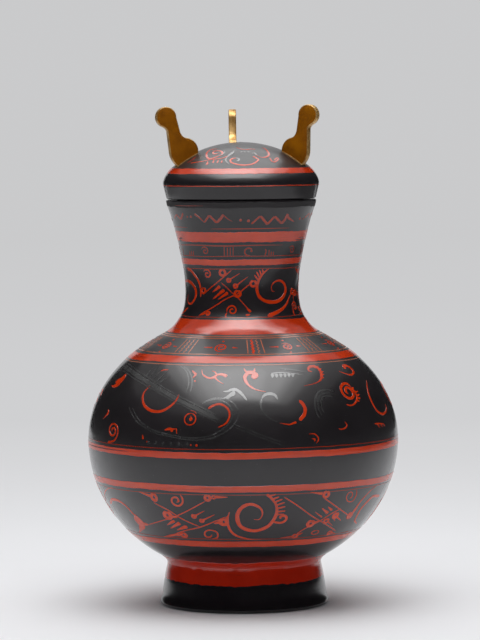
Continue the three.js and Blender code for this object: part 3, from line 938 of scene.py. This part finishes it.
def scattered_scrolls(ink):
    """Worn pieces of red scroll on the upper belly."""
    ink.swell(5.6, (-63.8, 151.6), (-64.2, 149.8), (-64.5, 147.6), (-65.6, 145.3), (-68, 143.9),
        (-71.2, 143.6))
    ink.taper(4.4, (-69, 146.4), (-65.6, 147.7), (-62.4, 149.6))
    ink.swell(1.6, (-63.2, 129.6), (-62.2, 127.9), (-63.1, 126.2), (-65.3, 123.6))
    ink.even(1.1, (-58, 109.8), (-55.2, 110.7), (-53.4, 113), (-52.6, 116.8), (-53.8, 120.4),
        (-56.6, 121.6), (-58.4, 119.3), (-58.1, 116.1), (-56.4, 114.2), (-54.8, 115),
        (-54.3, 117.2), (-55.4, 119.1), (-56.6, 118.4), (-56.5, 116.7))
    ink.taper(1.9, (-42, 146), (-43.7, 142.5), (-43.3, 138.5), (-41, 134.2), (-37, 131.4),
        (-32.5, 131.4), (-28.9, 134.6), (-26.9, 138.4), (-26.3, 141.7))
    ink.taper(1.1, (-40.7, 155.2), (-38.9, 155.8), (-36.5, 156.1))
    ink.taper(1.7, (-23.9, 156.1), (-22.4, 154.8), (-21.4, 153.7), (-22.3, 151.6))
    ink.tail(2.2, (-11.5, 153.9), (-12.4, 152.5), (-14.3, 151.8), (-16.5, 152.6), (-18.3, 154.3),
        (-19.1, 156.9))
    ink.tail(2.6, (-7, 153), (-8.1, 153.6), (-9.7, 154.1), (-11.5, 153.9), (-12.6, 155.4),
        (-14.2, 156))
    ink.tail(1.9, (-11.9, 153.6), (-12.2, 152.4), (-10.6, 150.3), (-8.1, 148.3))
    ink.tail(0.8, (-19.4, 128.2), (-19.9, 129.2))
    ink.taper(0.6, (-20.2, 132.5), (-18.5, 131.8), (-17.6, 130.4))
    ink.swell(1.7, (-29.7, 120), (-28, 120.9), (-26.6, 120.7), (-24.9, 121.3))
    ink.brushed(1.5, (-13.2, 133.7), (-11.5, 135.5), (-9.2, 136.5), (-7.3, 135.6), (-5.7, 133.5),
        (-5, 130.5), (-5.4, 127.2), (-6.6, 124.5), (-9.1, 122.4))
    ink.tail(3.6, (6.2, 152.2), (5.6, 154), (4, 155), (2.3, 154.6), (1, 152.8), (1.1, 150.6),
        (2, 148.3), (3.6, 146.3), (5.7, 144.7), (9.3, 143.5))
    ink.even(2.3, (22.4, 137.9), (23.6, 135.5), (24.1, 132.5), (23.5, 129.5), (22.2, 127.4),
        (21.2, 125.8))
    ink.tail(1.5, (19.8, 124.8), (18.5, 124.2), (16.9, 123.6), (13.5, 124.6))
    ink.swell(2.3, (32.9, 154.4), (31.5, 155), (31.7, 156.2), (33.2, 157.3), (35.6, 157.3),
        (37.3, 156), (37.6, 154), (37, 152), (36, 150.2), (34.4, 148.7), (31.6, 147.4),
        (26.1, 146.2))
    ink.ticks(1.2, (35.2, 157.2, 36.2, 158.2), (36.6, 156.6, 38, 157.5), (37.4, 155.2, 39, 155.9),
        (37.5, 153.6, 39.2, 154.1), (37.2, 152.2, 38.7, 152.5), (36.2, 150.6, 37.6, 150.6))
    ink.tail(2.9, (54.4, 154.4), (54.8, 156), (57.2, 156.2), (59.2, 154.6), (59, 152.3),
        (56.6, 150.9), (53.9, 150.9), (51.2, 152.1), (48.7, 153.5))
    ink.even(1.9, (50.1, 143.9), (49.1, 145.7), (46.7, 146), (44.4, 144.2), (43.7, 141.2),
        (44.6, 138.6), (46.6, 137.1), (48.8, 137.7), (49.8, 140), (49.4, 142.3), (48, 143.7),
        (46.5, 143), (46, 141.2), (46.8, 139.8))
    ink.brushed(1.5, (50, 143.8), (50.9, 141.8), (51.3, 139.4), (51, 137), (49.8, 135.1),
        (47.7, 133.3), (45.3, 132.9), (43.6, 133.7))
    ink.ticks(1.5, (50.6, 142.4, 51.9, 143.4), (51.1, 140.4, 53.4, 140.8),
        (51.2, 138.6, 53.4, 138.6), (51, 137, 53, 136.5), (50.2, 135.8, 51.6, 134.6))
    ink.taper(1.7, (65.2, 146.4), (61.6, 141.8), (59.9, 136.4), (60.4, 130.7), (62.1, 127.1),
        (65.3, 125.1), (68.9, 125.8), (71.6, 128), (71.9, 130.6))
    ink.taper(0.9, (37, 119.5), (38.6, 118.9), (40.6, 119.7), (41.3, 121.5), (40.4, 123.4))
    ink.taper(1.1, (57.2, 120), (60.3, 119.8), (64.4, 119))
    for azimuth in (59.4, 61.8, 64):
        ink.tears((azimuth, 119.4, azimuth + 1.2, 117.2, 1.2))
    ink.taper(0.8, (24.2, 117.3), (26.5, 117.1), (27.8, 115.1), (27.9, 113.2), (27, 111.2))
    ink.even(0.8, (25.3, 114.4), (26.6, 113.8), (26.2, 112.4))
    ink.tears((-58.6, 109.6, -54.6, 111.2, 1.9), (-25, 121.2, -24.6, 118, 1),
        (-38.9, 113.6, -39.3, 116.6, 1.5), (1.7, 155, 0.5, 157.6, 1.8), (5.2, 155, 5.6, 157.6, 1.8))
    ink.dots((-20.8, 149.9, 1.4), (-7.6, 153.2, 2.4), (-19.6, 127.2, 2.3), (-26.7, 119.8, 1.7),
        (-37.1, 112.4, 0.9), (5.1, 152.6, 4), (2.6, 155.2, 2.6), (4.8, 155.4, 2.4), (-19, 111.3, 1),
        (-16.9, 111.2, 1.5))
    ink.rings((-19.9, 127.2, 4.1, 0.75))


def grey_scrolls(ink):
    """Dark grey scrolls that run under the red ones on the upper belly."""
    for shift, width in ((0, 0.8), (2.1, 2.6), (4.2, 0.8)):
        ink.even(width, *((azimuth, height - shift) for azimuth, height in (
            (-76, 158), (-63.4, 156.2), (-50.6, 152.6), (-42, 149.2), (-35.6, 146.2),
            (-25.8, 140.6), (-16.4, 134.8), (-8.5, 128.8),
        )))
    ink.tears((-47.6, 151.6, -46.8, 157.2, 1.2), (-45, 150.6, -43.4, 157.2, 1.2),
        (-42.6, 149.5, -40, 156.4, 1.2), (-40, 148.6, -36.4, 155, 1.2),
        (-38, 148.4, -34, 152.6, 1.2))
    for shift in (0, 1.6):
        ink.even(0.9, (-30.8 + shift, 158.4), (-26.7 + shift, 155.6), (-24.2 + shift, 151.5),
            (-23.2 + shift, 147.4), (-23.4 + shift, 142.7))
    for share in (1, 0.91):
        ink.even(0.8, *((-25 + a * share, 129 + up * share) for a, up in (
            (9.4, 8), (11.7, 9.8), (14.8, 11), (18, 10.7), (20.8, 8.6), (22.7, 5.1), (23.3, 0.9),
            (22, -3.9), (19.5, -8.2), (14.9, -12.5), (9.4, -14.4), (3.7, -14.3), (-2.3, -12.8),
            (-8.7, -11), (-13.5, -8.3), (-17.8, -5), (-21.2, -1), (-24.2, 3.6),
        )))
    for shift in (0, 1.8):
        ink.taper(0.8, (-3, 124.2 - shift), (4, 119.4 - shift), (15, 112 - shift))
    ink.taper(0.9, (17.5, 156.6), (23, 156), (30, 154))
    ink.tail(1.7, (7.4, 139.6), (6.8, 136.4), (7.3, 132.1), (8.9, 129), (11, 126.5),
        (13.5, 124.6))
    for share in (1, 0.78, 0.56):
        ink.taper(1.3, *((35 + a * share, 135 + up * share) for a, up in (
            (4.9, 6.5), (2.8, 7.9), (-0.7, 8.2), (-3.6, 6.6), (-5.5, 3.1), (-6.4, -0.4), (-6.3, -5.3),
            (-5.5, -9),
        )))
    ink.dots(*((-36.4 + 3.2 * tooth, 111.8, 1.8) for tooth in range(6)))


def grey_heads_painted_highlight(ink):
    """Grey heads of the scrolls where the light catches them, painted lighter as a painted highlight.
    """
    ink.taper(1, (-16, 136.6), (-13.3, 138.8), (-10.2, 140), (-7, 139.8))
    ink.taper(2.2, (-8, 144), (-6, 144.1), (-4.6, 145), (-2.8, 145), (-0.8, 143), (0.4, 140.9),
        (1.6, 138.6))
    ink.swell(2.6, (-3.4, 144.6), (-5, 141.8), (-6.4, 140.2), (-9, 139.6))
    ink.swell(2.6, (-3.6, 144), (-3.8, 142.4), (-4.6, 140.8))
    ink.tail(1.3, (12.8, 154.2), (17, 154.6), (22, 154), (28, 152.8))
    for azimuth in (13.4, 15.3, 17.2, 19.1, 21, 22.8):
        ink.tears((azimuth, 154, azimuth - 0.5, 151.6, 3.2))
    ink.swell(2.4, (13.6, 138.8), (12.9, 141.2), (11.3, 142.3), (9.2, 142), (7.7, 140.3), (7, 138))


def upper_sides(red):
    """What fills the gaps at the sides between the upper belly's front and back."""
    red.taper(1.8, (-83.7, 140.7), (-81.2, 138.5), (-79.1, 136.2))
    for turn, drop in ((90, 0), (262, 3)):
        red.settle(turn)
        red.swell(2, (9.4, 133 - drop), (6.8, 129.4 - drop), (0.6, 127.6 - drop), (-6, 130 - drop),
            (-8.4, 135.4 - drop), (-6, 140.8 - drop), (-0.6, 142.6 - drop), (3.4, 140 - drop),
            (3.6, 136.2 - drop), (0.8, 134.2 - drop))
        red.dots((8.6, 139.6 - drop, 1.8))
        red.tears((11.6, 138 - drop, 14.6, 135 - drop, 1.6))
    red.settle()


def lid_scrolls(red, grey):
    """Scrolls on the lid's dome, partly worn to grey."""
    red.even(1.3, (-27, 291.1), (-31, 290.5), (-36, 291), (-38, 291.9), (-34, 292.5), (-27, 292.1),
        (-23, 291.1), (-23, 289.8), (-27, 288.6), (-32, 287.6), (-37, 288.2), (-42, 289.7),
        (-48, 291.5), (-50, 292.8), (-45, 293.5), (-38, 293.7))
    red.even(0.9, (-52, 284.8), (-44, 285.5), (-36, 286.3), (-30, 287.4))
    red.taper(0.8, (-58, 285), (-56, 286.9), (-57, 288.8))
    grey.taper(0.8, (-66, 291), (-50, 289.2), (-44, 287))
    red.even(0.9, (-30, 287.2), (-24, 287.4), (-18, 288.1), (-14, 289.3))
    grey.swell(2.2, (-15, 289), (-12, 290.2), (-10, 291.4), (-9, 292.7))
    grey.taper(1.1, (-25, 289), (-21, 290.6), (-22, 292.2))
    red.even(1.3, (14, 288.6), (16, 287.6), (17, 286.7), (14, 285.3), (10, 284.1), (4, 283.5),
        (-2, 283.8), (-8, 285), (-10, 286.3), (-9, 287.4), (-5, 288))
    grey.even(1.2, (-5, 288), (-2, 287.5), (-2, 286.6), (-4, 285.9))
    grey.swell(1.1, (-10, 284), (-14, 286), (-15, 287.9), (-13, 289), (-8, 289.7))
    red.swell(1.5, (38, 294.3), (40, 293.5), (37, 291.6), (34, 290), (29, 288.6), (23, 288.1),
        (19, 288.8), (17, 289.9))
    grey.swell(1.6, (18, 289.4), (16, 291), (13, 290.3))
    red.even(1, (31, 287.9), (30, 285.9), (32, 285.1), (36, 285.9), (41, 287.3))
    red.taper(1, (33, 286), (37, 287.2), (42, 287.9))
    for azimuth in (1, 5, 10):
        grey.dots((azimuth, 291.6, 1.7))
    red.taper(0.8, (-8, 294.7), (0, 293.5), (9, 293.2), (16, 293.5), (22, 293))
    red.spiral(90, 288.4, 4.2, 1.6, 1.3, 40)
    red.tears((-31, 283.8, -33, 286.2, 2.1), (-26, 284.9, -27, 286.8, 1.7),
        (-22, 284.9, -22, 286.7, 1.7), (-18, 285, -18, 286.6, 1.5), (78, 285.2, 72, 288, 1.8))
    red.dots((14, 288.5, 1.7))


def front_and_back(draw, *brushes):
    """Draws on the front and again, mirrored, across the back."""
    for turn, side in ((0, 1), (180, -1)):
        for ink in brushes:
            ink.settle(turn, side)
        draw(*brushes)
    for ink in brushes:
        ink.settle()


def painted_scrolls():
    """The scrolls of the lower zone, the upper belly, the neck and the lid."""
    jar = Brush(JAR)
    for draw in (lower_scroll, lower_knot_left, lower_knot_right, lower_side_scrolls):
        front_and_back(draw, jar)
    for turn in (85, 265):
        jar.settle(turn)
        lower_scroll(jar)
    jar.build("lower_scrolls", "jar", "vermilion_lacquer", VERMILION)

    red, grey, pale = Brush(JAR), Brush(JAR), Brush(JAR)
    front_and_back(scattered_scrolls, red)
    upper_sides(red)
    front_and_back(grey_scrolls, grey)
    front_and_back(grey_heads_painted_highlight, pale)
    red.build("upper_scrolls", "jar", "vermilion_lacquer", VERMILION)
    grey.build("grey_scrolls", "jar", "grey_lacquer", GREY)
    # The grey heads take the lighter grey, a painted highlight.
    pale.build("grey_heads_painted_highlight", "jar", "grey_lacquer", GREY_PAINTED_HIGHLIGHT)

    neck, combs = Brush(JAR), Brush(JAR)
    # The shoulder's thin lines and combs are drawn in the paler vermilion, a painted highlight.
    for seed, height in enumerate((159.2, 165.4, 174.7, 175.6)):
        combs.line(height, 0.55, 0.25, seed + 30)
    neck_zone(neck)
    shoulder_band(neck, combs)
    neck.build("neck_scrolls", "jar", "vermilion_lacquer", VERMILION)
    combs.build("shoulder_combs", "jar", "vermilion_lacquer", PINK_PAINTED_SHEEN)

    lid, worn = Brush(LID), Brush(LID)
    front_and_back(lid_scrolls, lid, worn)
    lid.build("lid_scrolls", "lid", "vermilion_lacquer", VERMILION)
    # The dome's worn grey strokes are real; their lighter grey is a painted highlight for the dome's
    # sheen.
    worn.build("worn_lid_scrolls", "lid", "grey_lacquer", GREY_PAINTED_HIGHLIGHT)


turned_sections()
lid_sections()
painted_bands()
painted_scrolls()

# Knobs


def knob_outline():
    """A knob's outline in its own plane: x outwards and y upwards from its seat on the lid."""
    head, head_out, head_up = 6.65, 14.8, 26.1
    bulge, bulge_out, bulge_up = 8.7, 2.6, 4.3

    def arc(x, y, radius, first, last, steps):
        angles = np.linspace(first, last, steps) * math.pi
        return [(x + radius * math.cos(a), y + radius * math.sin(a)) for a in angles]

    def bend(a, control, b, steps=8):
        s = np.linspace(0, 1, steps)[1:, None]
        a, control, b = (np.array(p) for p in (a, control, b))
        return [tuple(p) for p in (1 - s) ** 2 * a + 2 * s * (1 - s) * control + s**2 * b]

    points = [(bulge_out - bulge, -4)]
    points += arc(bulge_out, bulge_up, bulge, 1, 0.52, 16)
    points += bend(points[-1], (4.3, 13.4), (5.7, 16.6))
    points += arc(head_out, head_up, head, 1, -0.36, 34)
    points += bend(points[-1], (14.9, 19.2), (14.2, 17.2), 5)
    points += [(12.6, 3.4)]
    points += bend(points[-1], (12.1, -1.2), (7.6, -5.4))
    points += [(4, -9)]
    return np.array(points)


def on_board(seat_angle, board_angle, along, depth):
    """X and Y of a place on a knob's board, along it from its seat and to its side."""
    seat, board = math.radians(seat_angle), math.radians(board_angle)
    return (
        KNOB_SEAT_RADIUS * math.cos(seat) + along * math.cos(board) - depth * math.sin(board),
        KNOB_SEAT_RADIUS * math.sin(seat) + along * math.sin(board) + depth * math.cos(board),
    )


def knob(name, seat_angle, board_angle, lean, shift, sink):
    """A sawn board with softened edges, bright gold on its edges and a darkened gold on its faces,
    which is painted shade.
    """
    tip = math.radians(lean)
    leaning = np.array([(math.cos(tip), math.sin(tip)), (-math.sin(tip), math.cos(tip))])
    outline = knob_outline() @ leaning + (shift, -sink)
    ahead = np.roll(outline, -1, 0) - np.roll(outline, 1, 0)
    ahead /= np.linalg.norm(ahead, axis=1)[:, None]
    inwards = np.column_stack([ahead[:, 1], -ahead[:, 0]])
    half = KNOB_THICKNESS / 2
    seat = dome_height(KNOB_SEAT_RADIUS)
    loops = [(half, 0.6), (half - 0.18, 0.22), (half - 0.6, 0.05)]
    verts = []
    for depth, inset in [(-depth, inset) for depth, inset in loops] + loops[::-1]:
        for x, up in outline + inwards * inset:
            verts.append((*on_board(seat_angle, board_angle, x, depth), seat + up))
    count = len(outline)
    faces = [tuple(range(count)), tuple(range(count * 5, count * 6)), *quads(0, 6, count)]
    piece = make_mesh(name + "_board", verts, faces, 40)
    # The two big faces get the darkened gold, painted shade; the narrow edge faces get the bright
    # gold.
    for face in piece.data.polygons:
        face.material_index = 0 if len(face.vertices) > 4 else 1
    dress(piece, "lid", [GILT_FACE_PAINTED_SHADE, GILT_EDGE], name)


def knob_beads(ink, seat_angle, board_angle, shift):
    """A raised gold bead along both faces of a board, where it meets the dome."""
    along = np.linspace(-5.6, 8.6, 8) + shift
    beside = KNOB_THICKNESS / 2 + 0.15
    for depth in (-beside, beside):
        x, y = on_board(seat_angle, board_angle, along, depth)
        turns = np.degrees(np.unwrap(np.arctan2(x, -y)))
        ink.even(1.2, *zip(turns, map(dome_height, np.hypot(x, y))))


beads = Brush(LID, 0.3)
for knob_name, place in KNOB_PLACES.items():
    knob(knob_name, *place)
    knob_beads(beads, place[0], place[1], place[3])
beads.build("knob_beads", "lid", "gilt_lacquer", GILT_EDGE)

# Stage, light and camera


BACKDROP = (0.590, 0.592, 0.600)


def seen_directly(tree):
    """A value of 1 for camera, glossy and transmission rays and 0 for the others."""
    rays = tree.nodes.new("ShaderNodeLightPath")
    total = rays.outputs["Is Camera Ray"]
    for name in ("Is Glossy Ray", "Is Transmission Ray"):
        node = tree.nodes.new("ShaderNodeMath")
        node.operation = "MAXIMUM"
        tree.links.new(total, node.inputs[0])
        tree.links.new(rays.outputs[name], node.inputs[1])
        total = node.outputs[0]
    return total


def stage_floor():
    """A pale round floor that runs into the backdrop's colour with distance. What camera and gloss
    see away from the jar is a painted pool of light, brightest near the jar and fading outwards.
    """
    rings = (0, 400, 900, 1800, 3600, 7000, 14000)
    floor = revolve("floor", [(r, 0) for r in rings], 96, False)
    n = Nodes("pale_floor")
    white = n.ramp(n.noise(3, 3), (0.3, (0.835, 0.84, 0.858)), (0.7, (0.855, 0.86, 0.878)))
    n.surface(Base_Color=white, Roughness=0.9, Specular_IOR_Level=0.1)
    distance = n.node("VectorMath", Vector=n.place)
    distance.operation = "LENGTH"
    reach = n.node("MapRange", Value=distance.outputs["Value"], From_Max=7.0).outputs[0]
    # Painted pool of light: an emission brightest near the jar that fades with distance into the
    # backdrop's colour.
    painted_light_pool = n.node("Emission", Color=n.ramp(
        reach, (0.0, (0.775, 0.777, 0.79)), (0.05, (0.745, 0.747, 0.76)),
        (0.11, (0.695, 0.697, 0.71)), (0.2, (0.628, 0.63, 0.642)),
        (0.54, (0.602, 0.604, 0.614)), (1.0, BACKDROP),
    ))
    shown = n.node("Math")
    shown.operation = "MULTIPLY"
    n.feed(shown.inputs[0], n.ramp(reach, (0.035, 0.0), (0.16, 1.0)))
    n.feed(shown.inputs[1], seen_directly(n.tree))
    blend = n.node("MixShader")
    for socket, source in zip(blend.inputs, (shown, n.shader, painted_light_pool)):
        n.feed(socket, source.outputs[0])
    n.feed(n.tree.nodes["Material Output"].inputs["Surface"], blend.outputs[0])
    floor.data.materials.append(n.material)


def dark_card():
    """Dark cards round, above and beside the jar that only its reflections see."""
    radius, low, high = 2300, 10, 1640
    gap_left, gap_right = 18, 13
    columns = 60
    verts = []
    for angle in np.radians(np.linspace(gap_left - 180, 180 - gap_right, columns + 1)):
        x, y = radius * math.sin(angle), -radius * math.cos(angle)
        verts += [(x, y, low), (x, y, high)]
    faces = [(a, a + 2, a + 3, a + 1) for a in range(0, 2 * columns, 2)]
    faces.append(tuple(range(1, 2 * columns + 2, 2)))
    wing = 12
    for left, right, front, back in (
        (-2200, -900, -2200, 1600), (740, 2200, -2200, 1600), (-900, 740, -2200, -870),
    ):
        faces.append(tuple(range(len(verts), len(verts) + 4)))
        verts += [(left, front, wing), (right, front, wing), (right, back, wing), (left, back, wing)]
    card = make_mesh("dark_card", verts, faces)
    n = Nodes("dark_card")
    dark = n.ramp(n.noise(2, 2), (0.3, 0.015), (0.7, 0.03))
    n.surface(Base_Color=dark, Roughness=1.0, Specular_IOR_Level=0.0)
    card.data.materials.append(n.material)
    for kind in ("camera", "diffuse", "transmission", "shadow"):
        setattr(card, "visible_" + kind, False)


def softbox(name, left, right, front, back, height, level, plain=0.53):
    """A lamp facing down and, just under it, one that only gloss shows.

    The sides are shares of the lamp's height above the floor, level is what gloss sees, and
    plain is the share of it that lights everything.
    """
    for suffix, radiance, drop in (("", plain * level, 0), ("_shine", (1 - plain) * level, 0.015)):
        data = bpy.data.lights.new(name + suffix, "AREA")
        data.shape = "RECTANGLE"
        data.size = (right - left) * height
        data.size_y = (back - front) * height
        data.energy = radiance * math.pi * data.size * data.size_y
        light = bpy.data.objects.new(name + suffix, data)
        middle = ((left + right) / 2 * height, (front + back) / 2 * height)
        light.location = (*middle, height - drop)
        light.visible_diffuse = not suffix
        bpy.context.collection.objects.link(light)


def studio():
    """Nested softboxes overhead, brightest in the middle, and a pale backdrop all round."""
    softbox("softbox_core", -0.26, 0.2, -0.64, -0.1, 1.44, 1.7)
    softbox("softbox_bright", -0.42, 0.4, -0.7, 0.04, 1.47, 1.7)
    softbox("softbox_wide", -0.55, 0.48, -0.73, 0.28, 1.5, 1.5)
    softbox("softbox_frame", -0.67, 0.64, -0.76, 0.45, 1.53, 1.3, 0.7)
    softbox("softbox_back", -0.4, 0.42, 0.3, 1.05, 1.5, 1.9, 0.76)
    softbox("softbox_scrim", -2.0, 1.0, -1.2, 1.5, 1.56, 0.25, 0.8)
    world = bpy.data.worlds.new("studio")
    bpy.context.scene.world = world
    world.use_nodes = True
    tree = world.node_tree
    fill = tree.nodes["Background"]
    fill.inputs["Color"].default_value = (0.12, 0.12, 0.125, 1)
    seen = tree.nodes.new("ShaderNodeBackground")
    seen.inputs["Color"].default_value = (*BACKDROP, 1)
    blend = tree.nodes.new("ShaderNodeMixShader")
    tree.links.new(seen_directly(tree), blend.inputs[0])
    tree.links.new(fill.outputs[0], blend.inputs[1])
    tree.links.new(seen.outputs[0], blend.inputs[2])
    tree.links.new(blend.outputs[0], tree.nodes["World Output"].inputs[0])


def camera():
    """The photograph's view: a long lens a little above the lid's height, tipped down."""
    data = bpy.data.cameras.new("camera")
    data.lens = 197.4
    data.clip_end = 50
    eye = bpy.data.objects.new("camera", data)
    tip = Matrix.Rotation(math.radians(90 - 3.295), 4, "X")
    roll = Matrix.Rotation(math.radians(-0.49), 4, "Z")
    eye.matrix_world = Matrix.Translation((-0.0014, -2.257, 0.3131)) @ tip @ roll
    bpy.context.collection.objects.link(eye)
    bpy.context.scene.camera = eye


stage_floor()
dark_card()
studio()
camera()
bpy.context.scene.view_settings.view_transform = "Standard"
